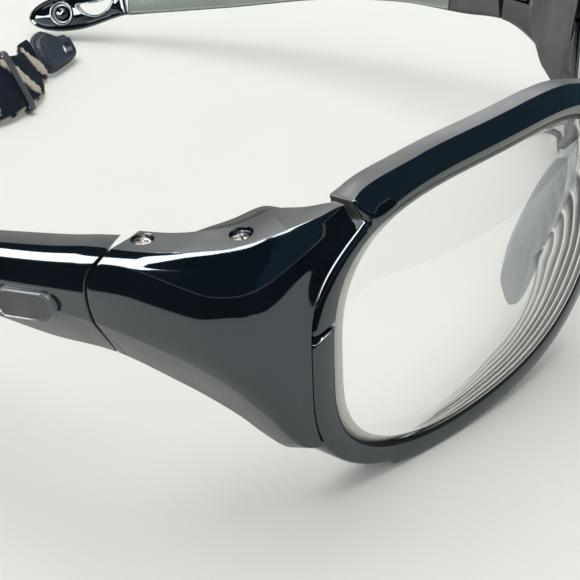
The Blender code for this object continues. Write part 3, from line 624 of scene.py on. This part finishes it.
def side_piece(name, side):
    n = SKIN_STEPS
    thin = [0.01 * k for k in range(5)] + [mix(0.06, 0.6, k / 26) for k in range(27)]
    thick = [mix(0.615, 0.985, k / 16) for k in range(17)]
    rings = [side_ring(t, WALL) for t in thin] + [side_ring(t, DECK_WIDTH - 0.3) for t in thick]
    rings.append(side_ring(1.0, DECK_WIDTH - 0.3, slant=0.5))
    rings = [[(side * p.x, p.y, p.z) for p in ring] for ring in rings]
    inner = [2 * n + 3 - k for k in range(n + 1)]
    cap = [(k, k + 1, inner[k + 1], inner[k]) for k in range(n)]
    cap += [(n, n + 1, n + 2, inner[n]), (0, inner[0], 2 * n + 4, 2 * n + 5)]
    mesh = swept(rings, cap, slot_of=lambda i, j: 0 if j < n else 1 if j in (n, 2 * n + 5) else 2, cap_slot=2)
    back = HINGE[0] + KNUCKLE_RADIUS + 0.2
    slot = [(66.0, HINGE[1] - 1.6), (back - 1.3, HINGE[1] - 1.6), (back, HINGE[1] - 0.3), (back, 45.0), (66.0, 45.0)]
    slot = prism([(side * x, y) for x, y in slot], KNUCKLE_LOW - GAP, KNUCKLE_HIGH + GAP)
    cuts = [("DIFFERENCE", plain(f"slot_{name}", slot))]
    for spot, (x, y), depth in (("hinge", HINGE, 23.2), ("rim", RIM_SCREW, 30.0)):
        deck = through(TOP_LINE, y)
        profile = [(depth, BORE_RADIUS), (deck - 1.3, BORE_RADIUS), (deck - 1.299, SINK_RADIUS)]
        profile += [(deck - 0.12, SINK_RADIUS), (deck + 0.1, SINK_RADIUS + 0.1), (deck + 3, 1.5)]
        cuts.append(("DIFFERENCE", plain(f"bore_{spot}_{name}", turned((side * x, y, 0), (0, 0, 1), profile))))
    finished(f"side_cover_{name}", mesh, "front", [GLOSS, SATIN_PAINTED_LIGHT, INNER], f"endpiece_{name}", 0.16,
             cuts)


def screw(spot, name, side, place):
    """A pan head with a cross cut into it and a worn edge."""
    x, y = side * place[0], place[1]
    deck = through(TOP_LINE, y) - 0.3
    profile = [(deck - 6, 0.6), (deck - 0.8, 0.62), (deck - 0.78, HEAD_RADIUS), (deck - 0.18, HEAD_RADIUS)]
    profile += [(deck - 0.03, HEAD_RADIUS - 0.12), (deck + 0.05, HEAD_RADIUS - 0.4), (deck + 0.09, 0.12)]
    turn = math.radians(24 if spot == "hinge" else 55)
    along = Vector((math.cos(turn), math.sin(turn)))
    across = Vector((-along.y, along.x))
    cuts = []
    for k, (u, v) in enumerate(((along, across), (across, -along))):
        bar = [Vector((x, y)) + u * a * 0.78 + v * b * 0.17 for a, b in ((-1, -1), (1, -1), (1, 1), (-1, 1))]
        cuts.append(("DIFFERENCE", plain(f"cross_{spot}_{name}_{k}", prism(bar, deck - 0.45, deck + 1))))
    mesh = swept(turned((x, y, 0), (0, 0, 1), profile))
    finished(f"{spot}_screw_{name}_head", mesh, "front", [STEEL], f"{spot}_screw_{name}", cuts=cuts,
             sharp=30)


def side_pad(name, side):
    rings = []
    steps = 44
    for k in range(steps + 1):
        part = k / steps
        t = mix(0.13, 0.79, part)
        swell = math.sin(math.pi * mix(0.02, 0.97, part)) ** 0.5
        normal = inward(t)
        back = side_outer(0, t, False) + normal * (deck_width(t) + 0.1 + GAP)
        low, high = through(BOTTOM_LINE, back.y) + 2.6, back.z + mix(-1.4, 0.0, swell)
        middle, half = (low + high) / 2, (high - low) / 2
        thick = (0.6 + 1.5 * swell) / 2
        ring = []
        for c, s in circle(40):
            across = signed_power(c, 0.55)
            up = signed_power(s, 0.42)
            p = back + normal * thick * (1 + across * (1 - 0.18 * max(up, 0) ** 3))
            ring.append((side * p.x, p.y, middle + half * up))
        rings.append(ring)
    pad = finished(f"side_cushion_{name}", swept(rings), "front", [RUBBER], f"side_pad_{name}")


# Temples


def temple_outer(y):
    return through(TEMPLE_SPREAD, y)


def temple_thickness(y):
    return mix(TEMPLE_THICKNESS, TIP_THICKNESS, smooth_step(y, 60, 125))


def temple(name, side):
    body = f"temple_{name}"
    stations = [None, 42.9, 43.5] + [mix(44.5, TEMPLE_END, k / 56) for k in range(57)]
    n = 22
    rings = []
    for station in stations:
        place = station or 42.0
        top, crease, bottom = (through(line, place) for line in (TOP_LINE, CREASE_LINE, BOTTOM_LINE))
        top = 37.0 if station is None else top
        thick = temple_thickness(place)
        inset = FACET_INSET * thick / TEMPLE_THICKNESS
        column = []
        for k in range(n + 1):
            drop = (top - crease) * k / n
            column.append((0.35 * (1 - k / n) - belly(drop, top - crease, 0.85), top - drop))
        column.append((inset, bottom))
        column += [(thick, mix(top - 0.3, bottom + 0.5, k / n)) for k in range(n, -1, -1)]
        column.append((thick - 0.5, top))
        ring = []
        for offset, z in column:
            first = through(REAR_FACE, z) + 0.4 + 0.7 * max(offset / thick, 0.0) ** 2.5
            y = first if station is None else station
            if station and station < 44:
                y = max(y, first + 0.3 * stations.index(station))
            ring.append((side * (temple_outer(y) - offset), y, z))
        rings.append(ring)
    inner = [2 * n + 2 - k for k in range(n + 1)]
    cap = [(k, k + 1, inner[k + 1], inner[k]) for k in range(n)] + [(n, n + 1, inner[n]), (0, inner[0], 2 * n + 3)]
    satin = (n, 2 * n + 2, 2 * n + 3)
    mesh = swept(rings, cap, slot_of=lambda i, j: 0 if j < n else 1 if j in satin else 2, cap_slot=2)
    turns = [math.radians(180 + 12 * k) for k in range(16)]
    nose = [(HINGE[0] + KNUCKLE_RADIUS * math.cos(a), HINGE[1] + KNUCKLE_RADIUS * math.sin(a)) for a in turns]
    plan = [(HINGE[0] + KNUCKLE_RADIUS, 44.5), (HINGE[0] - KNUCKLE_RADIUS, 44.5)] + nose
    knuckle = plain(f"knuckle_{name}", prism([(side * x, y) for x, y in plan], KNUCKLE_LOW, KNUCKLE_HIGH))
    bore = plain(f"knuckle_bore_{name}", turned((side * HINGE[0], HINGE[1], 0), (0, 0, 1), [(20, 0.73), (36, 0.73)]))
    cuts = [("UNION", knuckle), ("DIFFERENCE", bore)]
    finished(f"temple_arm_{name}", mesh, body, [GLOSS, SATIN_PAINTED_LIGHT, INNER], body, 0.16, cuts)


def lining(name, side):
    """Soft strip with a rounded face and a fine lip along its lower edge."""
    rings = []
    steps = 90
    for k in range(steps + 1):
        y = mix(LINING_START, TEMPLE_END - 0.5, k / steps)
        back = temple_outer(y) - temple_thickness(y) - 0.05
        thick = LINING_THICKNESS * mix(0.35, 1.0, smooth_step(min(k, steps - k), 0, 6))
        low, high = through(BOTTOM_LINE, y) + 0.6, through(TOP_LINE, y) - 0.8
        column = [(back, high), (back, low), (back - 0.75 * thick, low), (back - 0.8 * thick, low + 0.35)]
        column += [(back - 0.62 * thick, low + 0.55), (back - 0.85 * thick, low + 1.0)]
        for part in (0.25, 0.5, 0.75):
            column.append((back - thick * (0.9 + 0.25 * math.sin(math.pi * part)), mix(low + 1.0, high - 0.6, part)))
        column += [(back - 0.85 * thick, high - 0.6), (back - 0.5 * thick, high)]
        rings.append([(side * x, y, z) for x, z in column])
    finished(f"temple_lining_{name}_soft", swept(rings), f"temple_{name}", [LINING], f"temple_lining_{name}",
             0.08)


def badge(name, side):
    """A plain raised pill with a sunken field."""
    centre_y, centre_z = BADGE_CENTRE
    rings = []
    for lift, shrink in BADGE_LEVELS:
        radius = BADGE_HALF_HEIGHT - shrink
        ring = []
        for c, s in circle(64):
            y = centre_y + math.copysign(BADGE_HALF_LENGTH - BADGE_HALF_HEIGHT, c) + radius * c
            z = centre_z - BADGE_SLOPE * (y - centre_y) + radius * s
            ring.append((side * (temple_outer(y) + 0.35 + lift), y, z))
        rings.append(ring)
    mesh = swept(rings, slot_of=lambda i, j: 1 if i > 4 else 0, cap_slot=1)
    finished(f"temple_badge_{name}_plain", mesh, f"temple_{name}", [BADGE, SATIN_PAINTED_LIGHT], f"temple_badge_{name}")


def tip_frame(side):
    """The tip's root and its directions along, up and out of its flat face."""
    along = Vector((-11.0, 22.2, TIP_DROP[side])).normalized()
    normal = along.cross(Vector((0.3, 0.1, 0.95))).normalized()
    up = normal.cross(along)
    return [Vector((side * v[0], v[1], v[2])) for v in (TIP_ORIGIN, along, up, normal)]


def tip_outline(shrink=0.0, steps=36):
    """The leaf's outline, drawn in by so much, in (along, up) places from its root."""
    upper = []
    for k in range(steps + 1):
        u = TIP_LENGTH * math.sin(math.pi / 2 * k / steps)
        fullness = mix(2.9, 4.5, smooth_step(u, 0, TIP_WIDEST))
        rounding = math.sqrt(max(1 - max((u - TIP_WIDEST) / (TIP_LENGTH - TIP_WIDEST), 0) ** 2, 0))
        upper.append((u, fullness * rounding))
    outline = upper + [(u, -w) for u, w in reversed(upper[:-1])]
    return [(mix(u, TIP_LENGTH / 2, shrink / (TIP_LENGTH / 2)), w * (1 - shrink / 4.5)) for u, w in outline]


def temple_tip(name, side):
    """Open leaf: a raised border, a ring round the strap's ball stud, and a slit with its own lip."""
    origin, along, up, normal = tip_frame(side)
    body = f"temple_{name}"

    def lie(points, height):
        return [origin + along * u + up * w + normal * height for u, w in points]

    lowest = min(p.z for height in (-1.2, 1.2) for p in lie(tip_outline(), height))
    origin.z += TIP_FLOOR[side] - lowest
    face = [(4.3, 1.25), (3.4, 1.2), (2.3, 1.0), (1.3, 0.6), (1.0, 1.1), (0.45, 1.25), (0.0, 0.7)]
    rows = [lie(tip_outline(s), -h) for s, h in face] + [lie(tip_outline(s), h) for s, h in reversed(face)]
    hole = [(TIP_RING[0] + TIP_RING_RADIUS * c, TIP_RING[1] + TIP_RING_RADIUS * s) for c, s in circle(48)]
    crescent = [(7.6 + 4.4 * c, 0.3 + 1.5 * s + 0.07 * (4.4 * c) ** 2 - 0.5) for c, s in circle(48)]
    cuts = [("DIFFERENCE", plain(f"{part}_{name}", [lie(shape, -4), lie(shape, 4)])) for part, shape in
            (("ring_hole", hole), ("tip_slit", crescent))]
    finished(f"temple_tip_{name}_leaf", swept(rows), body, [GLOSS], f"temple_tip_{name}", cuts=cuts)
    mesh = bmesh.new()
    lips = [(hole, 0.42, 1.2), (crescent, 0.36, 1.1), (hole, 0.42, -1.2), (crescent, 0.36, -1.1)]
    for shape, breadth, raised in lips:
        middle = Vector((sum(p[0] for p in shape) / len(shape), sum(p[1] for p in shape) / len(shape)))
        rays = [Vector(p) - middle for p in shape]
        rows = []
        for c, s in circle(10):
            grown = [middle + ray * (1 + (breadth + breadth * c) / ray.length) for ray in rays]
            rows.append(lie(grown, raised + breadth * s))
        swept(rows, closed=True, mesh=mesh)
    finished(f"temple_tip_{name}_lips", mesh, body, [GLOSS])
    turns = [math.pi * k / 20 for k in range(21)]
    profile = [(-2.1 * math.cos(a), 1.95 * max(math.sin(a), 0.06) ** 0.85) for a in turns]
    ball = swept(turned(lie([TIP_RING], 0)[0], normal, profile, 36))
    finished(f"strap_stud_{name}_ball", ball, body, [GLOSS], f"strap_stud_{name}")


# Strap


def strap_frame(steps):
    """Points down the strap with their heading, crosswise direction, normal and width. It starts out standing on the
    edge nearer the front and lies down flat further on."""
    route = smooth_route(STRAP_ROUTE, steps)
    out = []
    for i, centre in enumerate(route):
        ahead = (route[min(i + 1, len(route) - 1)] - route[max(i - 1, 0)]).normalized()
        far = Vector((ahead.y, -ahead.x, 0))
        share = i / (len(route) - 1)
        lean = math.radians(STRAP_LEAN) * (1 - smooth_step(share, 0.38, 0.66))
        across = Vector((far.x * math.cos(lean), far.y * math.cos(lean), math.sin(lean)))
        up = Vector((-far.x * math.sin(lean), -far.y * math.sin(lean), math.cos(lean)))
        width = mix(STRAP_END_WIDTH, STRAP_WIDTH, smooth_step(min(share, 1 - share), 0.1, 0.5))
        flat = Vector((centre.x, centre.y, 0))
        standing = flat - far * STRAP_WIDTH / 2 + across * width / 2
        upright = lean / math.radians(STRAP_LEAN)
        middle = flat.lerp(standing, upright)
        near = max(math.exp(-(((share - spot) / 0.07) ** 2)) for spot in SLIDER_SPOTS.values())
        middle.z = standing.z + mix(STRAP_LEVEL, 0.6, upright) + mix(0.3, 1.0, upright) * near
        out.append((middle, Vector((ahead.x, ahead.y, 0)), across, up, width))
    return out


def tufts(along, across):
    """1 on the beige yarn and 0 off it: ragged slanting stripes, from places along and across the strap."""
    u = along - TUFT_PERIOD * round((along - 3.0) / TUFT_PERIOD)
    beside = abs(across + 3.4 - TUFT_SLANT * u) * 0.587
    beyond = max(abs(across - 0.9) - 4.0, 0.0)
    ragged = noise.noise((along * 0.9, across * 0.9, 3.7)) + 0.6 * noise.noise((along * 2.6, across * 2.6, 9.1))
    return 1 - smooth_step(beside + 0.8 * beyond + 0.5 * ragged, 1.05, 1.5)


def webbing_material():
    made, tree, shader = new_material("woven_elastic")
    tuft = spread_node(tree, noise_node(tree, 1600, 4), 0.55, 1.1, 0.3, 0.7)
    shade = spread_node(tree, noise_node(tree, 2400, 2), 0, 1)
    navy = blend_node(tree, shade, (0.003, 0.008, 0.02), (0.01, 0.02, 0.042))
    beige = blend_node(tree, tuft, (0.34, 0.31, 0.245), (0.78, 0.73, 0.6))
    place = tree.nodes.new("ShaderNodeUVMap").outputs["UV"]
    waves = []
    for direction, scale in (("X", 2.3), ("Y", 1.7)):
        wave = feed(tree.nodes.new("ShaderNodeTexWave"), Vector=place, Scale=scale, Distortion=1.2)
        wave.bands_direction = direction
        waves.append(wave.outputs["Fac"])
    fuzz = bump_node(tree, noise_node(tree, 3800, 5), 0.7, 0.00018)
    weave = bump_node(tree, maths_node(tree, "ADD", *waves), 0.7, 0.00012, Normal=fuzz)
    yarn = blend_node(tree, attribute_node(tree, "yarn"), navy, beige)
    feed(shader, Base_Color=yarn, Normal=weave, Roughness=0.92, Specular_IOR_Level=0.15)
    return made


def webbing():
    stations = strap_frame(30)
    lanes = 46
    rings, tones, distance, last = [], [], 0.0, stations[0][0]
    for centre, _, across, up, width in stations:
        half = width / 2
        distance += (centre - last).length
        last = centre
        ring, tone = [], []
        worn = smooth_step(noise.noise((distance * 0.5, 1, 1)), -0.3, 0.1)
        for face in (1, -1):
            for k in range(lanes + 1):
                v = half * (2 * k / lanes - 1) * face
                edge = 1 - smooth_step(abs(v), half - 0.7, half)
                hem = (1 - smooth_step(v, 0.35 - half, 0.75 - half)) * worn
                yarn = tufts(distance, v)
                lump = 0.32 * yarn * (1 + 0.7 * noise.noise((distance * 1.4, v * 1.4, face)))
                rib = 0.05 * math.sin(distance * 5.2) * math.sin(v * 4.6)
                thick = 0.5 * mix(0.45, 1.0, edge) + (lump + rib) * edge
                ring.append(centre + across * v + up * face * thick)
                tone.append((max(yarn * edge, 0.8 * hem), distance, v))
        rings.append(ring)
        tones.append(tone)
    obj = finished("strap_webbing_woven", swept(rings), "strap", [webbing_material()], "strap_webbing",
                   sharp=80)
    data = obj.data
    flat = [t for tone in tones for t in tone]
    level = data.attributes.new("yarn", "FLOAT", "POINT")
    level.data.foreach_set("value", [t[0] for t in flat])
    layer = data.uv_layers.new(name="UVMap")
    for loop in data.loops:
        layer.data[loop.index].uv = (flat[loop.vertex_index][1], flat[loop.vertex_index][2])


def tab(name, station, heading):
    """Moulded end that lies in the strap's own plane: a lobed base plate, a raised pad over the sewn-in webbing and a
    buttonhole. One long edge carries on the strap's lower edge."""
    middle, _, across, up, width = station
    foot = middle - across * width / 2 - up * (STRAP_LEVEL if up.z > 0.99 else 0.4) + heading * GAP

    def place(u, v, height):
        return foot + heading * u + across * v + up * height

    def outline(scale, lobes):
        points = []
        for k, (c, s) in enumerate(circle(96)):
            reach = signed_power(c, 0.5)
            half = mix(STRAP_END_WIDTH, TAB_TIP_WIDTH, smooth_step(reach, -0.35, 0.55)) / 2
            notch = 1 - lobes * 0.1 * max(0, math.cos(2 * (2 * math.pi * k / 96 - 0.5))) ** 6
            u = TAB_LENGTH / 2 * (1 + reach * scale * notch)
            v = half + signed_power(s, 0.5) * half * scale * notch
            points.append((u, v))
        return points

    oval = [(TAB_LENGTH * 0.72 + 1.7 * c, TAB_TIP_WIDTH / 2 + 1.5 * s) for c, s in circle(40)]
    rings = [[place(u, v, height) for u, v in outline(scale, lobes)] for scale, height, lobes in TAB_LEVELS]
    cutter = plain(f"buttonhole_{name}", [[place(u, v, height) for u, v in oval] for height in (-1, 4)])
    finished(f"strap_tab_{name}_soft", swept(rings), "strap", [NAVY], f"strap_tab_{name}",
             cuts=[("DIFFERENCE", cutter)], sharp=50)


def slider(name, share):
    """A flat loop round the strap."""
    stations = strap_frame(10)
    centre, ahead, across, up, width = stations[round(share * (len(stations) - 1))]
    body = f"slider_{name}"
    half_wide, half_high = width / 2 + 0.9, 1.1
    path = []
    for c, s in circle(72):
        path.append((half_wide * signed_power(c, 0.35), half_high * signed_power(s, 0.35)))
    rows = []
    for index, (w, h) in enumerate(path):
        before, after = Vector(path[index - 1]), Vector(path[(index + 1) % len(path)])
        tangent = (after - before).normalized()
        out = Vector((tangent.y, -tangent.x))
        row = []
        for c, s in circle(14):
            thick, long_ = 0.34 * signed_power(c, 0.6), 0.8 * signed_power(s, 0.6)
            row.append(centre + across * (w + out.x * thick) + up * (h + out.y * thick) + ahead * long_)
        rows.append(row)
    finished(f"strap_slider_{name}_loop", swept(rows, closed=True), body, [SLIDER], f"strap_slider_{name}")


# Setting


def camera():
    yaw, pitch, roll = (math.radians(a) for a in (CAMERA_YAW, CAMERA_PITCH, CAMERA_ROLL))
    ahead = Vector((math.sin(yaw) * math.cos(pitch), math.cos(yaw) * math.cos(pitch), math.sin(pitch)))
    right = Vector((math.cos(yaw), -math.sin(yaw), 0))
    up = right.cross(ahead)
    right, up = right * math.cos(roll) + up * math.sin(roll), up * math.cos(roll) - right * math.sin(roll)
    data = bpy.data.cameras.new("camera")
    data.lens, data.sensor_width, data.clip_start = CAMERA_LENS, 36.0, 0.005
    obj = placed("camera", data)
    turn = Matrix((right, up, -ahead)).transposed().to_4x4()
    obj.matrix_world = Matrix.Translation(world(CAMERA_PLACE)) @ turn
    bpy.context.scene.camera = obj


def area_light(name, place, target, size, power, colour=(1, 1, 1)):
    data = bpy.data.lights.new(name, "AREA")
    data.shape, data.size, data.size_y, data.energy, data.color = "RECTANGLE", size[0], size[1], power, colour
    obj = placed(name, data)
    obj.location = place
    obj.rotation_euler = (Vector(target) - Vector(place)).to_track_quat("-Z", "Y").to_euler()
    return obj


def sheet(name, corners, faces, material, mirrored=True):
    """A thin piece of the setting; a mirrored one shows in reflections and nowhere else."""
    data = bpy.data.meshes.new(name)
    data.from_pydata(corners, [], faces)
    data.materials.append(material)
    obj = placed(name, data)
    if mirrored:
        obj.visible_camera = obj.visible_diffuse = obj.visible_shadow = obj.visible_transmission = False


def ribbon(name, edges, colour, strength, distance=3.0):
    """A bright window or wall far off, from its lower and upper edge in degrees of height at each compass angle."""
    corners = []
    for angle, *heights in edges:
        turn = math.radians(angle)
        for height in heights:
            h = math.radians(height)
            level = distance * math.cos(h)
            corners.append((level * math.sin(turn), level * math.cos(turn), distance * math.sin(h)))
    faces = [(2 * k, 2 * k + 1, 2 * k + 3, 2 * k + 2) for k in range(len(edges) - 1)]
    glow = finish(name, (0.01, 0.012, 0.014), (0.014, 0.016, 0.018), (0.8, 0.9), 10, 100, 0.0,
                  Specular_IOR_Level=0.0, Emission_Color=(*colour, 1), Emission_Strength=strength)
    sheet(name, corners, faces, glow)


def setting():
    corners = [(x * FLOOR_REACH, y * FLOOR_REACH, 0) for x, y in ((-1, -1), (1, -1), (1, 1), (-1, 1))]
    paper = finish("pale_floor", (0.79, 0.8, 0.765), (0.815, 0.825, 0.79), (0.45, 0.6), 14, 1400, 0.12,
                   Specular_IOR_Level=0.0)
    sheet("floor", corners, [(0, 1, 2, 3)], paper, mirrored=False)

    # Painted reflection: a dark sheet just above the floor, seen only in reflections, paints a shaded stretch of
    # floor on the camera's side into the gloss.
    outline = [(-900, 300)] + PAINTED_DARK_EDGE + [(900, -900), (-900, -900)]
    corners = [(x * MM, y * MM, 0.001) for x, y in outline]
    dark = finish("painted_dark_reflection", (0.008, 0.014, 0.02), (0.008, 0.014, 0.02), (0.8, 0.9), 10, 100, 0.0,
                  Specular_IOR_Level=0.0)
    sheet("painted_dark_reflection", corners, [tuple(range(len(corners)))], dark)

    area_light("overhead", (0.1, 0.2, 1.1), (0, 0, 0), (1.1, 1.1), 9.0, (1.0, 1.0, 0.985))
    back = area_light("back_window", (0.83, 0.27, 0.5), (0, 0, 0.02), (0.55, 0.4), 2.2)
    lamp = area_light("lamp", (-0.05, 0.15, 0.9), (0, 0, 0.02), (0.16, 0.1), 1.6)
    for light in (back, lamp):
        light.visible_diffuse = light.visible_transmission = False
    ribbon("long_window", WINDOW_EDGES, (1, 1, 1), 14.0)
    ribbon("front_window", FRONT_WINDOW_EDGES, (1, 1, 1), 14.0)
    ribbon("far_wall", FAR_WALL_EDGES, (0.3, 0.72, 1.0), 0.12, 3.2)

    made = bpy.data.worlds.new("room")
    bpy.context.scene.world = made
    made.use_nodes = True
    tree = made.node_tree
    room = feed(tree.nodes["Background"], Color=(0.72, 0.735, 0.71, 1), Strength=0.8)
    mirrored = feed(tree.nodes.new("ShaderNodeBackground"), Color=(0.012, 0.022, 0.034, 1))
    pick = tree.nodes.new("ShaderNodeMixShader")
    ray = tree.nodes.new("ShaderNodeLightPath")
    tree.links.new(ray.outputs["Is Glossy Ray"], pick.inputs["Fac"])
    tree.links.new(room.outputs[0], pick.inputs[1])
    tree.links.new(mirrored.outputs[0], pick.inputs[2])
    tree.links.new(pick.outputs[0], tree.nodes["World Output"].inputs["Surface"])


def main():
    camera()
    setting()
    stations = strap_frame(6)
    tab("left", stations[0], -stations[0][1])
    tab("right", stations[-1], stations[-1][1])
    for name, share in SLIDER_SPOTS.items():
        slider(name, share)
    webbing()
    front_frame()
    for name, side in SIDES.items():
        lens(name, side)
        painted_edge_reflections(name, side)
        nose_pad(name, side)
        side_piece(name, side)
        side_pad(name, side)
        screw("hinge", name, side, HINGE)
        screw("rim", name, side, RIM_SCREW)
        temple(name, side)
        lining(name, side)
        badge(name, side)
        temple_tip(name, side)
        stem = frame["nodes"][f"nose_pad_arm_{name}"]
        for slot in stem.material_slots:
            slot.material = INNER
    bpy.context.scene.view_settings.view_transform = "Standard"


main()
